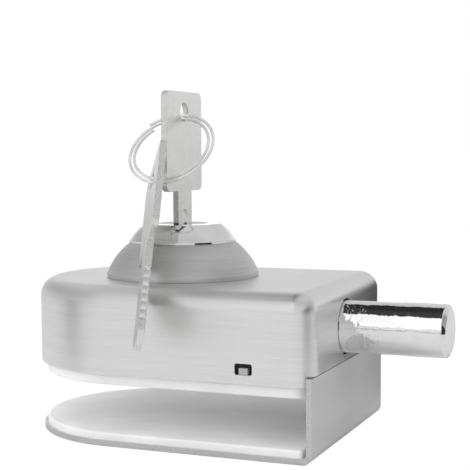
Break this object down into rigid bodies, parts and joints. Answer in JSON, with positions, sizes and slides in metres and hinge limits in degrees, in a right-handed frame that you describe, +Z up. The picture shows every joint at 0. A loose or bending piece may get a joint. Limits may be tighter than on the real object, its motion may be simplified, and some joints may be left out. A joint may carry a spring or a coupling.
{
  "type": "glass door lock",
  "caption": "Glass door lock that clamps on a pane's edge: D-shaped brushed steel cover, domed key cylinder with a flat key and a spare on a ring, and a round bolt.",
  "frame": {"origin": "where the key cylinder's axis meets the underside of the bracket's lower plate", "axes": "+X along the bolt towards its tip, +Y from the front of the lock to its back, +Z up along the cylinder's axis towards the key"},
  "size_m": [0.1108, 0.076, 0.0882],
  "materials": {
    "bracket": "satin, flat sides matte, sheared edges brighter",
    "cover": "fine brushed lines along the length",
    "dome": "satin",
    "chrome": "polished",
    "pad": "matte white",
    "inner_steel": "zinc plated",
    "brass": "turned",
    "plug": "satin plated",
    "nickel": "nickel plated, lightly worn",
    "ring": "polished wire",
    "catch": "grey"
  },
  "bodies": {
    "lock": {"clamp_bracket": "bracket", "pressure_plate": "inner_steel", "cover": "cover", "dome": "dome", "collar": "chrome", "lower_pad": "pad", "upper_pad": "pad", "clamp_nuts": "inner_steel", "clamp_screws": "inner_steel", "bolt_guide": "inner_steel", "bolt_bush": "brass", "guide_screws": "inner_steel", "rack_rail": "inner_steel", "rail_screws": "inner_steel", "cylinder_body": "brass", "pin_sleeve": "inner_steel", "cylinder_nut": "inner_steel", "driver_pins": "brass", "pin_springs": "inner_steel", "catch_housing": "catch", "catch_screws": "inner_steel"},
    "plug": {"cylinder_plug": "plug", "plug_circlip": "inner_steel", "key_pins": "brass", "pinion": "brass", "hub_pin": "inner_steel"},
    "bolt": {"bolt": "chrome", "rack": "inner_steel", "rack_rivets": "inner_steel"},
    "key": {"key": "nickel"},
    "ring": {"split_ring": "ring"},
    "spare": {"spare_key": "nickel"},
    "catch": {"catch_button": "catch", "catch_spring": "inner_steel"}
  },
  "joints": [
    {"name": "plug_turn", "type": "hinge", "parent": "lock", "child": "plug", "pos_m": [0, 0, 0.04], "axis": [0, 0, -1], "range_deg": [0, 180]},
    {"name": "bolt_slide", "type": "slide", "parent": "lock", "child": "bolt", "axis": [-1, 0, 0], "range_m": [0, 0.022]},
    {"name": "key_withdraw", "type": "slide", "parent": "plug", "child": "key", "axis": [0, 0, 1], "range_m": [0, 0.03]},
    {"name": "ring_swing", "type": "hinge", "parent": "key", "child": "ring", "pos_m": [0, 0, 0.0829], "axis": [-1, 0, 0], "range_deg": [0, 46]},
    {"name": "spare_swing", "type": "hinge", "parent": "ring", "child": "spare", "pos_m": [-0.0008, -0.01455, 0.0654], "axis": [-0.7777, -0.6257, -0.061], "range_deg": [0, 50]},
    {"name": "catch_press", "type": "slide", "parent": "lock", "child": "catch", "axis": [0, 1, 0], "range_m": [0, 0.0015], "stiffness_N_per_m": 200, "springref_m": -0.001, "deforming": ["catch_spring"]}
  ],
  "couplings": [
    {"joint": "bolt_slide", "follows": "plug_turn", "m_per_rad": 0.007},
    {"joint": "ring_swing", "follows": "plug_turn", "ratio": 0.25}
  ]
}
